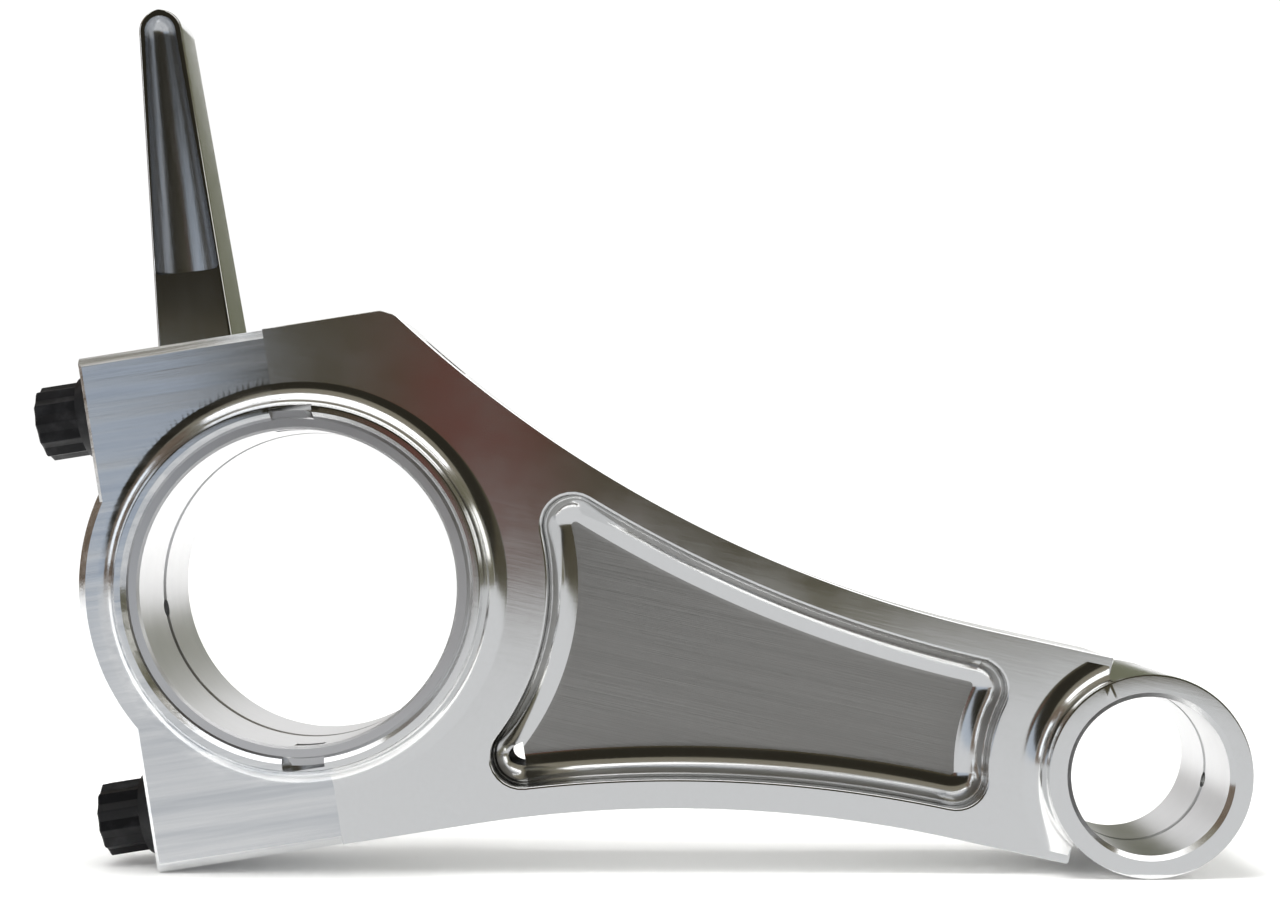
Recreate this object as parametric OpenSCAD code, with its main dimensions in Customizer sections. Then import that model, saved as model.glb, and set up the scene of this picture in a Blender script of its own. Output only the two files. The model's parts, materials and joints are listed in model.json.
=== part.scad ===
// Connecting rod for a small four-stroke engine, with a capped big end.
// The cap is split at an angle to the rod and carries an oil dipper.
// Origin: centre of the big-end bore. +Y runs along the crankpin, +Z is up,
// and the rod slopes down along +X until cap corner and small end share a level.

/* [Rod] */
// Distance between the centres of the two bores
centre_distance = 110; // [96:0.5:136]
// Width over the end faces, along the crankpin
rod_width = 25; // [22:0.5:30]
// Thickness of the beam and of the cap, along the crankpin
body_t = 17.8; // [16:0.2:20]
// Thickness of the web between the two pockets
web_t = 5; // [4:0.1:6.5]
// Chamfer along the outer edges of beam and cap
edge_chamfer = 1.2; // [0.8:0.1:1.6]
// Chamfer along the edges of the faces under the bolt flanges and of the flanges' ends
end_chamfer = 0.5; // [0.2:0.1:0.7]
// How far the upper corner of the rod is blunted
corner_blunt = 0.5; // [0.2:0.1:1]

/* [Big end] */
// Diameter of the crankpin bore, inside the bearing shells
big_bore_d = 40; // [34:0.5:46]
// Wall of the bearing shells
shell_t = 1.5; // [1.2:0.1:2]
// How far each shell edge stands back from the end face
shell_recess = 0.5; // [0.2:0.1:1]
// Chamfer at the mouth of the housing bore
housing_chamfer = 0.7; // [0.3:0.1:1]
// Width of the flat thrust land around the housing bore
thrust_land = 1.6; // [1:0.1:2.5]
// Angle between the bolts and the rod's own axis
split_angle = 21.4; // [17:0.1:27]
// Distance from the split to the faces under the bolt flanges
seat_depth = 24; // [21:0.5:28]
// Distance from a bolt's axis out to the flat beside it
bolt_edge = 6.9; // [6.6:0.1:9]
// Metal outside the housing at the crown of the cap
crown_t = 7.4; // [7:0.1:10]

/* [Beam] */
// Width of the beam where its sides run parallel
beam_w = 27; // [24:0.5:30]
// Length of the parallel stretch, measured from the pin's centre
parallel_run = 22; // [18:0.5:26]
// How far short of the pin's centre the flanges stop
flange_stop = 7; // [5:0.5:9]
// Width of each flange beside the pocket
flange_w = 3.8; // [3:0.1:5]
// Radius left by the ball cutter in the pockets
pocket_r = 4; // [3:0.1:5]
// Land between the big end's cove and the pocket
big_land = 4.6; // [3:0.1:7]
// Land between the small end's cove and the pocket
small_land = 3.5; // [2.5:0.1:5]

/* [Small end] */
// Diameter of the piston pin bore
pin_bore_d = 20; // [17:0.5:23]
// Wall of the small end around the pin bore
small_wall = 2.9; // [2.5:0.1:4.5]
// Chamfer at the mouths of the pin bore
pin_chamfer = 0.6; // [0.3:0.1:1]

/* [Bolts] */
// Diameter of the bolt shank and thread
bolt_d = 6.4; // [5.8:0.1:7]
// Length of the bolt under its flange
bolt_length = 40; // [36:0.5:46]
// Diameter of the bolt flange
bolt_flange_d = 12.4; // [11.5:0.1:13]
// Thickness of the bolt flange
bolt_flange_t = 2.4; // [1.8:0.1:3]
// Size of the twelve-point head over its points
bolt_head_d = 9.8; // [9:0.1:10.5]
// Height of the twelve-point head above its flange
bolt_head_t = 5.6; // [4:0.1:7]
// How far the tapped holes run past the split
tap_depth = 24; // [21:0.5:28]

/* [Dowels] */
// Wall of the ring dowels around the bolts
dowel_wall = 0.8; // [0.6:0.1:1.2]
// Length of the ring dowels, half on each side of the split
dowel_length = 8; // [5:0.5:12]
// Metal between a ring dowel and the housing bore
dowel_web = 0.7; // [0.5:0.1:2]

/* [Dipper] */
// Height of the dipper above the cap
dipper_length = 44; // [30:0.5:56]
// Distance from the split to the dipper's centre line at its root
dipper_offset = 9.7; // [8:0.1:14]
// Lean of the dipper towards the rod
dipper_lean = 2.1; // [0:0.1:8]
// Width of the dipper at its root
dipper_root_w = 9.8; // [8:0.1:13]
// Width of the dipper at its tip
dipper_tip_w = 5.6; // [4.5:0.1:8]
// Thickness of the dipper at its root
dipper_root_t = 9.4; // [6:0.1:12]
// Thickness of the dipper at its tip
dipper_tip_t = 7; // [5:0.1:9]
// Length of the plain stretch below the scoop
dipper_plain = 9.4; // [6:0.1:14]
// Width of the rails left beside the scoop
dipper_rail = 0.8; // [0.6:0.1:1.2]
// Depth of the scoop at its tip
scoop_depth = 1.9; // [1.2:0.1:2.4]

/* [Oil ways] */
// Diameter of the oil hole through cap and shell
cap_oil_d = 2.4; // [1.5:0.1:3]
// Diameter of the oil hole in the small end
pin_oil_d = 2; // [1.2:0.1:2.5]
// Width of the oil groove in each bore
groove_w = 1.2; // [0.8:0.1:2]
// Depth of the oil groove in each bore
groove_d = 0.35; // [0.2:0.05:0.5]

/* [Shell tangs] */
// Width of each tang, along the crankpin
tang_w = 3.6; // [2.5:0.1:5]
// Length of each tang, away from the split
tang_l = 5; // [3:0.1:7]
// How far each tang stands out of its shell
tang_h = 0.9; // [0.6:0.1:1.1]
// How far each tang stands back from the edge of its shell
tang_setback = 0.4; // [0.2:0.1:1.5]

/* [Fits] */
// Diameter of the bolt holes in the cap less the bolt's own
bolt_clearance = 0.4; // [0.2:0.05:0.8]
// Diameter of the tapped holes less the bolt's own
thread_clearance = 0.06; // [0.04:0.02:0.16]
// Diameter of the cap's counterbores less the dowel's own
dowel_clearance = 0.06; // [0.04:0.02:0.16]
// Gap round each tang in its notch
tang_clearance = 0.3; // [0.1:0.05:0.6]

/* [Hidden] */
$fn = 96;

over = 1;                 // how far cutters run past what they cut
reach = 400;              // larger than the whole rod

// Big end
bore_r = big_bore_d / 2;
housing_r = bore_r + shell_t;
land_r = housing_r + thrust_land;
cove = (rod_width - body_t) / 2;
tang_front = -rod_width / 2 + shell_recess + tang_setback;
tang_back = tang_front + tang_w;
crown_r = housing_r + crown_t;

// Bolts and dowels
bolt_hole_d = bolt_d + bolt_clearance;
tap_d = bolt_d + thread_clearance;
tip_chamfer = 0.8;
dowel_od = bolt_hole_d + 2 * dowel_wall;
bolt_n = housing_r + dowel_web + dowel_od / 2;
half_h = bolt_n + bolt_edge;

// Small end
pin_r = pin_bore_d / 2;
small_r = pin_r + small_wall;

// Sides of the beam: an arc that meets the parallel stretch and the lower flat
half_w = beam_w / 2;
arc_u = centre_distance - parallel_run;
arc_r = (arc_u * sin(split_angle) + half_w * cos(split_angle) - half_h) / (1 - cos(split_angle));
arc_v = half_w + arc_r;
beam_end = centre_distance - flange_stop;
// Where the arc meets the lower flat, measured along the bolts, or just before the split
meet_b = max(-over / 2, (arc_u - arc_r * sin(split_angle)) * cos(split_angle)
                        - (arc_v - arc_r * cos(split_angle)) * sin(split_angle));
// Where the upper arc meets the upper flat, and how far the outline turns there
arc_drop = (arc_v * cos(split_angle) - arc_u * sin(split_angle)) - half_h;
arc_back = sqrt(arc_r ^ 2 - arc_drop ^ 2);
corner_b = arc_u * cos(split_angle) + arc_v * sin(split_angle) - arc_back;
corner_turn = atan2(arc_back, arc_drop);

// The rod lies at the slope that puts cap corner and small end on one level
corner_u = half_h * sin(split_angle) - seat_depth * cos(split_angle);
corner_v = seat_depth * sin(split_angle) + half_h * cos(split_angle);
slope = acos(small_r / norm([corner_v, centre_distance - corner_u]))
        - atan2(centre_distance - corner_u, corner_v);
bolt_rise = split_angle - slope;

// Pockets
pocket_depth = (body_t - web_t) / 2;
pocket_big_r = land_r + cove + big_land;
pocket_small_r = small_r + cove + small_land;

// Colours
metal = [0.80, 0.80, 0.79];
lining = [0.62, 0.62, 0.63];
black = [0.08, 0.08, 0.09];
steel = [0.55, 0.56, 0.58];

// ---------- frames ----------

// X runs along the rod from the big end, Z across it
module along_rod() { rotate([0, slope, 0]) children(); }

// X runs along the bolts from head to tip, Z from the lower bolt to the upper one
module along_bolts() { rotate([0, -bolt_rise, 0]) children(); }

// At the centre of the small end
module at_pin() { along_rod() translate([centre_distance, 0, 0]) children(); }

// Lays a solid that was made along Z along the crankpin
module across() { rotate([90, 0, 0]) children(); }

// Both sides of the rod
module both_sides() {
    children();
    mirror([0, 1, 0]) children();
}

// ---------- shared shapes ----------

// Points of a bar's section, as thick as the body, from lo to hi, with its four edges broken
function bar_section(lo, hi, c) = [
    [-body_t / 2 + c, lo], [body_t / 2 - c, lo], [body_t / 2, lo + c], [body_t / 2, hi - c],
    [body_t / 2 - c, hi], [-body_t / 2 + c, hi], [-body_t / 2, hi - c], [-body_t / 2, lo + c]
];

// Bar along X whose broken edges lie at the heights lo and hi
module bar_x(from, to, lo, hi) {
    translate([from, 0, 0]) rotate([90, 0, 90])
        linear_extrude(to - from) polygon(bar_section(lo, hi, edge_chamfer));
}

// Bar along Z whose broken edges lie at the places lo and hi along X
module bar_z(from, to, lo, hi) {
    translate([0, 0, from]) mirror([1, -1, 0])
        linear_extrude(to - from) polygon(bar_section(lo, hi, end_chamfer));
}

// Round plate on the crankpin's axis with broken edges
module round_plate(r) {
    across() rotate_extrude() polygon([
        [0, -body_t / 2], [r - edge_chamfer, -body_t / 2], [r, -body_t / 2 + edge_chamfer],
        [r, body_t / 2 - edge_chamfer], [r - edge_chamfer, body_t / 2], [0, body_t / 2]
    ]);
}

// Boss with a land of radius r, and a cove that runs down to the plate
module end_boss(r) {
    across() rotate_extrude() difference() {
        translate([0, -rod_width / 2]) square([r + cove, rod_width]);
        for (side = [-1, 1]) translate([r + cove, side * rod_width / 2]) circle(cove);
    }
}

// Cutter that leaves the curved side of the beam with broken edges
module side_cutter() {
    flat = body_t / 2 - edge_chamfer;
    flare = edge_chamfer + over;
    translate([arc_u, 0, arc_v]) across() rotate_extrude($fn = 360) polygon([
        [0, -flat - flare], [arc_r + flare, -flat - flare], [arc_r, -flat],
        [arc_r, flat], [arc_r + flare, flat + flare], [0, flat + flare]
    ]);
}

// Bore of radius r across the rod, with a chamfer at each mouth
module chamfered_bore(r, c) {
    across() rotate_extrude() polygon([
        [0, -rod_width / 2 - over], [r + c + over, -rod_width / 2 - over], [r, -rod_width / 2 + c],
        [r, rod_width / 2 - c], [r + c + over, rod_width / 2 + over], [0, rod_width / 2 + over]
    ]);
}

// Everything on the rod's side of the split
module rod_half() {
    along_bolts() translate([0, -reach / 2, -reach / 2]) cube(reach);
}

// Everything on the cap's side of the split
module cap_half() {
    along_bolts() translate([-reach, -reach / 2, -reach / 2]) cube(reach);
}

// Hole along the bolts, one for each bolt
module bolt_holes(d, from, to) {
    along_bolts() for (side = [-1, 1])
        translate([from, 0, side * bolt_n]) rotate([0, 90, 0]) cylinder(d = d, h = to - from);
}

// Block between the radii inner_r and outer_r that starts at the split, near the front face
module tang_block(inner_r, outer_r, length, front, back) {
    intersection() {
        across() difference() {
            cylinder(r = outer_r, h = reach, center = true);
            cylinder(r = inner_r, h = reach + over, center = true);
        }
        translate([-over, front, 0]) cube([length + over, back - front, reach]);
    }
}

// Tang pressed out of a shell
module tang() { tang_block(bore_r + shell_t / 2, housing_r + tang_h, tang_l, tang_front, tang_back); }

// Dimple left inside the shell behind its tang
module tang_dimple() {
    tang_block(bore_r - over, bore_r + tang_h, tang_l - tang_h, tang_front + tang_h, tang_back - tang_h);
}

// Notch for a tang, open to the front face
module tang_notch() {
    tang_block(bore_r, housing_r + tang_h + tang_clearance, tang_l + tang_clearance,
               -rod_width / 2 - over, tang_back + tang_clearance);
}

// ---------- rod ----------

// Front outline of a pocket, as wide as its mouth
module pocket_outline() {
    difference() {
        union() {
            translate([0, -half_h]) square([arc_u, 2 * half_h]);
            translate([0, flange_w - half_w]) square([centre_distance, beam_w - 2 * flange_w]);
        }
        for (side = [-1, 1])
            translate([arc_u, side * arc_v]) circle(arc_r + flange_w, $fn = 120);
        circle(pocket_big_r, $fn = 48);
        translate([centre_distance, 0]) circle(pocket_small_r, $fn = 48);
    }
}

// Pocket in the front of the beam, as a ball cutter leaves it
module pocket() {
    along_rod() translate([0, -web_t / 2 - pocket_r, 0]) minkowski() {
        across() linear_extrude(pocket_depth) offset(delta = -pocket_r) pocket_outline();
        sphere(pocket_r, $fn = 20);
    }
}

// Blank of the rod: big-end block, curved beam and parallel beam
module rod_blank() {
    difference() {
        union() {
            intersection() {
                along_bolts() bar_x(-over, reach, -reach, half_h);
                union() {
                    along_bolts() bar_x(-over, meet_b + over, -half_h, reach);
                    intersection() {
                        along_bolts() translate([meet_b, -reach / 2, -reach / 2]) cube(reach);
                        along_rod() translate([-reach / 2, -reach / 2, -reach / 2])
                            cube([arc_u + reach / 2, reach, reach]);
                    }
                }
            }
            along_rod() intersection() {
                bar_x(arc_u - over, beam_end + over, -half_w, half_w);
                bar_z(-reach, reach, arc_u - 2 * over - end_chamfer, beam_end);
            }
        }
        along_rod() side_cutter();
        along_rod() mirror([0, 0, 1]) side_cutter();
        along_bolts() translate([corner_b, 0, half_h]) rotate([0, corner_turn / 2, 0])
            translate([-reach / 2, -reach / 2, -corner_blunt]) cube(reach);
    }
}

// The rod itself, down to the split
module rod_body() {
    color(metal) difference() {
        union() {
            rod_blank();
            end_boss(land_r);
            at_pin() across() cylinder(r = small_r, h = rod_width, center = true);
            intersection() {
                at_pin() end_boss(small_r);
                along_rod() translate([arc_u, -reach / 2, edge_chamfer - half_w])
                    cube([beam_end - end_chamfer - arc_u, reach, beam_w - 2 * edge_chamfer]);
            }
        }
        cap_half();
        both_sides() pocket();
        chamfered_bore(housing_r, housing_chamfer);
        at_pin() chamfered_bore(pin_r, pin_chamfer);
        at_pin() bore_groove(pin_r);
        at_pin() rotate([0, 90, 0]) cylinder(d = pin_oil_d, h = small_r + over);
        bolt_holes(tap_d, -over, tap_depth);
        bolt_holes(dowel_od, -over, dowel_length / 2);
        along_bolts() tang_notch();
    }
}

// ---------- cap ----------

// Outline of the dipper seen from the front, with its root sunk into the cap
module dipper_outline() {
    tip_r = dipper_tip_w / 2;
    polygon([
        [-dipper_root_w / 2, -over], [dipper_root_w / 2, -over],
        [tip_r, dipper_length - tip_r], [-tip_r, dipper_length - tip_r]
    ]);
    translate([0, dipper_length - tip_r]) circle(tip_r);
}

// Tapered blade with a scoop in its front that ends round, just inside the tip
module dipper() {
    scoop_root_r = dipper_root_w / 2 - dipper_rail;
    scoop_tip_r = dipper_tip_w / 2 - dipper_rail;
    scoop_l = dipper_length - dipper_tip_w / 2 - dipper_plain;
    scoop_rise = scoop_depth - scoop_tip_r + (dipper_root_t - dipper_tip_t) / 2;
    difference() {
        intersection() {
            across() linear_extrude(reach, center = true) dipper_outline();
            rotate([90, 0, 90]) linear_extrude(reach, center = true) polygon([
                [-dipper_root_t / 2, -over], [dipper_root_t / 2, -over],
                [dipper_tip_t / 2, dipper_length + over], [-dipper_tip_t / 2, dipper_length + over]
            ]);
        }
        translate([0, -dipper_root_t / 2, dipper_plain]) rotate([-atan(scoop_rise / scoop_l), 0, 0]) {
            cylinder(r1 = scoop_root_r, r2 = scoop_tip_r, h = scoop_l);
            translate([0, 0, scoop_l]) sphere(scoop_tip_r);
        }
    }
}

// The bolted cap with its dipper
module bearing_cap() {
    color(metal) difference() {
        union() {
            round_plate(crown_r);
            end_boss(land_r);
            along_bolts() intersection() {
                bar_x(-seat_depth - over, over, -half_h, half_h);
                bar_z(-half_h - over, half_h + over, -seat_depth, reach);
            }
            along_bolts() translate([-dipper_offset, 0, half_h])
                rotate([0, dipper_lean, 0]) dipper();
        }
        rod_half();
        chamfered_bore(housing_r, housing_chamfer);
        bolt_holes(bolt_hole_d, -seat_depth - over, over);
        bolt_holes(dowel_od + dowel_clearance, -dowel_length / 2, over);
        along_bolts() rotate([0, -90, 0]) cylinder(d = cap_oil_d, h = crown_r + over);
        along_bolts() rotate([0, 180, 0]) tang_notch();
    }
}

// ---------- bearing shells ----------

// Groove round the middle of a bore of radius r
module bore_groove(r) {
    across() cylinder(r = r + groove_d, h = groove_w, center = true);
}

// Full ring of both shells, with its oil groove
module shell_ring() {
    difference() {
        across() cylinder(r = housing_r, h = rod_width - 2 * shell_recess, center = true);
        across() cylinder(r = bore_r, h = rod_width, center = true);
        bore_groove(bore_r);
    }
}

module rod_shell() {
    color(lining) difference() {
        union() {
            shell_ring();
            along_bolts() tang();
        }
        cap_half();
        along_bolts() tang_dimple();
    }
}

module cap_shell() {
    color(lining) difference() {
        union() {
            shell_ring();
            along_bolts() rotate([0, 180, 0]) tang();
        }
        rod_half();
        along_bolts() rotate([0, 180, 0]) tang_dimple();
        along_bolts() rotate([0, -90, 0]) cylinder(d = cap_oil_d, h = crown_r + over);
    }
}

// ---------- bolts and dowels ----------

// Flanged twelve-point cap screw, its seat at the origin, pointing along X
module cap_screw() {
    rotate([0, 90, 0]) {
        rotate_extrude() polygon([
            [0, 0], [bolt_d / 2, 0], [bolt_d / 2, bolt_length - tip_chamfer],
            [bolt_d / 2 - tip_chamfer, bolt_length], [0, bolt_length]
        ]);
        translate([0, 0, -bolt_flange_t]) cylinder(d = bolt_flange_d, h = bolt_flange_t);
        for (turn = [0, 30])
            rotate(turn) translate([0, 0, -bolt_flange_t - bolt_head_t])
                cylinder(d = bolt_head_d, h = bolt_head_t + over, $fn = 6);
    }
}

// Thin sleeve that lines up cap and rod round a bolt
module ring_dowel() {
    rotate([0, 90, 0]) difference() {
        cylinder(d = dowel_od, h = dowel_length, center = true);
        cylinder(d = bolt_hole_d, h = dowel_length + over, center = true);
    }
}

module upper_bolt() { color(black) along_bolts() translate([-seat_depth, 0, bolt_n]) cap_screw(); }

module lower_bolt() { color(black) along_bolts() translate([-seat_depth, 0, -bolt_n]) cap_screw(); }

module upper_dowel() { color(steel) along_bolts() translate([0, 0, bolt_n]) ring_dowel(); }

module lower_dowel() { color(steel) along_bolts() translate([0, 0, -bolt_n]) ring_dowel(); }

rod_body();
bearing_cap();
rod_shell();
cap_shell();
upper_bolt();
lower_bolt();
upper_dowel();
lower_dowel();
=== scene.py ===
import json
import math

import bmesh
import bpy
from mathutils import Matrix, Vector


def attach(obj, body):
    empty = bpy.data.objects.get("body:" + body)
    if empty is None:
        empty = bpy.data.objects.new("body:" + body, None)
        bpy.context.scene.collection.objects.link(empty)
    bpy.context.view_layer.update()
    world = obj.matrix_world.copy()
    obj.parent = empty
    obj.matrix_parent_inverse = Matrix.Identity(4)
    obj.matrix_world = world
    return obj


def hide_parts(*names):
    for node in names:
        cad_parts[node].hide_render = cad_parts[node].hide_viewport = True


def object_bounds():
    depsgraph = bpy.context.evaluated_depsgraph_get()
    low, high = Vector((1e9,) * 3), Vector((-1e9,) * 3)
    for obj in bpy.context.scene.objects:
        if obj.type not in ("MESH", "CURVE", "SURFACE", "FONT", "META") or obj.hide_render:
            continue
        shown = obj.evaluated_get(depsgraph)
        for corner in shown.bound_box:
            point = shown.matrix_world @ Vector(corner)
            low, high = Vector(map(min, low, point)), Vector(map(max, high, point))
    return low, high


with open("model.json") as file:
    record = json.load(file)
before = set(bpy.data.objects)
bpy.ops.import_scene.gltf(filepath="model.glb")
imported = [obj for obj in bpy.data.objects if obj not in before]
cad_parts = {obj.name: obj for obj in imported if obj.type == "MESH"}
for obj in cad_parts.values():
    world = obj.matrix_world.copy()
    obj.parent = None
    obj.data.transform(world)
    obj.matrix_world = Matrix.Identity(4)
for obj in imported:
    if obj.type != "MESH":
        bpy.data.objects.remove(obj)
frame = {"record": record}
cad_lo, cad_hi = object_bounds()


# ---------- studio ----------
# The rod stands on its lower edge on a pale table. A pale surround lights it softly. Lit and
# dark screens round it, which only reflections show, give the polished metal its contrast.

MM = 0.001
table_z = cad_lo.z - 0.02 * MM


class Wire:
    """A socket of a shader, so that sums of sockets can be written as sums."""

    def __init__(self, tree, socket):
        self.tree, self.socket = tree, socket

    def node(self, kind, settings, **inputs):
        made = self.tree.nodes.new(kind)
        for name, value in settings.items():
            if name == "stops":
                for _ in range(len(value) - len(made.color_ramp.elements)):
                    made.color_ramp.elements.new(1.0)
                for stop, (place, grey) in zip(made.color_ramp.elements, value):
                    stop.position, stop.color = place, (grey, grey, grey, 1)
            else:
                setattr(made, name, value)
        for name, value in inputs.items():
            numbered = name[0] == "i" and name[1:].isdigit()
            plug(self.tree, made.inputs[int(name[1:]) if numbered else name], value)
        return made

    def math(self, operation, *values):
        named = {f"i{k}": v for k, v in enumerate(values)}
        made = self.node("ShaderNodeMath", {"operation": operation}, **named)
        return Wire(self.tree, made.outputs[0])

    def __add__(self, other): return self.math("ADD", self, other)
    def __radd__(self, other): return self.math("ADD", other, self)
    def __mul__(self, other): return self.math("MULTIPLY", self, other)
    def __rmul__(self, other): return self.math("MULTIPLY", other, self)


def plug(tree, socket, value):
    """Links a wire into a socket, or sets the socket's own value."""
    if isinstance(value, Wire):
        tree.links.new(value.socket, socket)
    else:
        socket.default_value = value


def screen(name, size, place, facing, colour, strength):
    """A plain lit or dark screen that lights nothing and casts no shadow."""
    bm = bmesh.new()
    bmesh.ops.create_grid(bm, x_segments=1, y_segments=1, size=0.5)
    bmesh.ops.scale(bm, vec=(size[0], size[1], 1), verts=bm.verts)
    turn = Vector(facing).to_track_quat("Z", "Y").to_matrix()
    bmesh.ops.transform(bm, matrix=Matrix.Translation(place) @ turn.to_4x4(), verts=bm.verts)
    mesh = bpy.data.meshes.new(name)
    bm.to_mesh(mesh)
    bm.free()
    card = bpy.data.objects.new(name, mesh)
    bpy.context.scene.collection.objects.link(card)
    material = bpy.data.materials.new(name)
    material.use_nodes = True
    tree = material.node_tree
    tree.nodes.clear()
    glow = tree.nodes.new("ShaderNodeEmission")
    glow.inputs["Color"].default_value = (*colour, 1)
    glow.inputs["Strength"].default_value = strength
    out = tree.nodes.new("ShaderNodeOutputMaterial")
    tree.links.new(glow.outputs[0], out.inputs["Surface"])
    mesh.materials.append(material)
    card.visible_diffuse = False
    card.visible_shadow = False
    return card


scene = bpy.context.scene
scene.view_settings.view_transform = "Standard"
world = bpy.data.worlds.new("surround")
scene.world = world
world.use_nodes = True
world.node_tree.nodes["Background"].inputs["Color"].default_value = (1.0, 1.0, 0.99, 1)
world.node_tree.nodes["Background"].inputs["Strength"].default_value = 0.62

bm = bmesh.new()
bmesh.ops.create_grid(bm, x_segments=1, y_segments=1, size=1.6)
bmesh.ops.translate(bm, vec=(0.05, 0.85, table_z), verts=bm.verts)
mesh = bpy.data.meshes.new("table")
bm.to_mesh(mesh)
bm.free()
table = bpy.data.objects.new("table", mesh)
scene.collection.objects.link(table)
paper = bpy.data.materials.new("table_paper")
paper.use_nodes = True
shader = paper.node_tree.nodes["Principled BSDF"]
shader.inputs["Base Color"].default_value = (0.93, 0.93, 0.92, 1)
shader.inputs["Roughness"].default_value = 0.6
shader.inputs["Emission Strength"].default_value = 1.0
# painted light: the table glows, faintly near the rod and more strongly towards the back, so that
# its far part is as white as the backdrop
start = Wire(paper.node_tree, paper.node_tree.nodes.new("ShaderNodeTexCoord").outputs["Object"])
parts = start.node("ShaderNodeSeparateXYZ", {}, Vector=start)
far = start.node("ShaderNodeMapRange", {"interpolation_type": "SMOOTHSTEP"},
                 Value=Wire(start.tree, parts.outputs["Y"]))
for name, value in (("From Min", 0.0), ("From Max", 0.9), ("To Min", 0.06), ("To Max", 0.5)):
    far.inputs[name].default_value = value
plug(start.tree, shader.inputs["Emission Color"], Wire(start.tree, far.outputs[0]))
mesh.materials.append(paper)

# the room that the metal mirrors: table, dark wall with a window at its left, and ceiling
up, down, to_back, to_front, to_right, to_left = ((0, 0, 1), (0, 0, -1), (0, 1, 0), (0, -1, 0),
                                                  (1, 0, 0), (-1, 0, 0))
for name, size, place, facing, colour, strength in (
    ("backdrop", (5.0, 3.0), (0.05, 1.9, 1.4), to_front, (1.0, 1.0, 0.995), 1.03),
    ("near_table", (3.2, 0.786), (0.05, -0.4068, table_z + 0.3 * MM), up, (0.80, 0.81, 0.82), 0.80),
    # painted shade: a dark olive sheet on the table in front of the rod, which only reflections
    # show, stands in for shade there
    ("near_mat", (0.70, 0.40), (0.42, -0.62, table_z + 0.6 * MM), up, (0.15, 0.14, 0.09), 0.8),
    ("front_wall", (3.2, 1.3), (0.05, -0.80, 0.615), to_back, (0.115, 0.100, 0.062), 0.55),
    ("front_glow", (0.08, 0.15), (-0.065, -0.79, 0.055), to_back, (0.15, 0.062, 0.05), 0.8),
    ("window", (1.3, 0.16), (-0.85, -0.79, 0.045), to_back, (0.42, 0.47, 0.54), 1.0),
    ("front_dark", (3.2, 1.0), (0.05, -0.78, 0.66), to_back, (0.045, 0.040, 0.028), 0.5),
    ("ceiling", (4.0, 2.4), (0.05, 0.30, 0.95), down, (0.24, 0.22, 0.17), 0.9),
    ("soft_box", (1.5, 0.30), (0.05, -0.10, 0.80), down, (1.0, 1.0, 1.0), 1.7),
    ("left_wall", (1.4, 1.6), (-1.00, 0.20, 0.45), to_right, (0.20, 0.15, 0.11), 0.8),
    ("left_box", (0.25, 0.5), (-0.95, -0.10, 0.30), to_right, (0.9, 0.95, 1.0), 1.3),
    ("right_wall", (1.4, 1.6), (1.10, 0.20, 0.45), to_left, (0.16, 0.15, 0.10), 0.9),
    ("right_box", (0.3, 0.4), (1.05, -0.15, 0.35), to_left, (1.0, 1.0, 0.97), 1.4),
    ("back_right", (1.3, 1.2), (0.80, 1.10, 0.66), (-0.3, -1, 0), (0.16, 0.165, 0.11), 0.9),
    ("back_left", (1.0, 1.2), (-0.90, 1.10, 0.62), (0.3, -1, 0), (0.15, 0.12, 0.09), 0.9),
):
    card = screen(name, size, place, facing, colour, strength)
    card.visible_camera = name == "backdrop"

for name, place, size, power in (
    ("overhead_lamp", (-0.02, -0.06, 0.60), 0.30, 3.6),
    ("left_lamp", (-0.50, -0.25, 0.35), 0.25, 1.2),
    ("right_lamp", (0.60, -0.10, 0.40), 0.25, 0.8),
):
    lamp = bpy.data.objects.new(name, bpy.data.lights.new(name, "AREA"))
    lamp.data.size = size
    lamp.data.energy = power
    lamp.location = place
    lamp.visible_glossy = False
    aim = Vector((0.05, 0, 0)) - Vector(place)
    lamp.rotation_euler = aim.to_track_quat("-Z", "Y").to_euler()
    scene.collection.objects.link(lamp)

eye = bpy.data.cameras.new("camera")
eye.lens, eye.sensor_width = 53.3, 36.0
eye.shift_x, eye.shift_y = -0.039, 0.044
eye.clip_start, eye.clip_end = 0.01, 20
camera = bpy.data.objects.new("camera", eye)
camera.location = (0.0494, -0.2505, 0.0092)
camera.rotation_euler = (math.radians(90), 0, 0)
scene.collection.objects.link(camera)
scene.camera = camera


# ---------- rod body ----------
# The rod is machined from aluminium billet and polished all over, apart from the web between
# its flanges, which keeps the marks of the milling cutter.

joints = {j["name"]: j for j in frame["record"]["behaviour"]["joints"]}
mounts = {m["name"]: m for m in frame["record"]["mounts"]}
pin = Vector(mounts["small_end_bore"]["pos_m"])
pull = Vector(joints["cap_pull"]["axis"])

centres = pin.length / MM
slope = math.atan2(-pin.z, pin.x)
rise = math.atan2(-pull.z, -pull.x)
split = slope + rise

rod_w, body_t, web_t = 25.0, 17.8, 5.0
housing_r = 21.5
land_r = 23.1
cove = (rod_w - body_t) / 2
pin_r = mounts["small_end_bore"]["dims"]["r_mm"]
small_r = 12.9
bolt_n = 26.4
half_h = 33.3
half_w = 13.5
beam_end = centres - 7.0
arc_u = centres - 22.0
arc_r = (arc_u * math.sin(split) + half_w * math.cos(split) - half_h) / (1 - math.cos(split))
arc_v = half_w + arc_r
edge_break = 1.2
mouth = 0.7
tap_r, tap_depth = 3.23, 24.0
dowel_r, dowel_l = 4.2, 8.0
groove_w, groove_depth, pin_oil_r = 1.2, 0.35, 1.0
notch_l, notch_y, notch_in, notch_out = 5.3, -7.7, 17.0, 22.7
past = 3.0
sliver = 0.004
fine = 192


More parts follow.
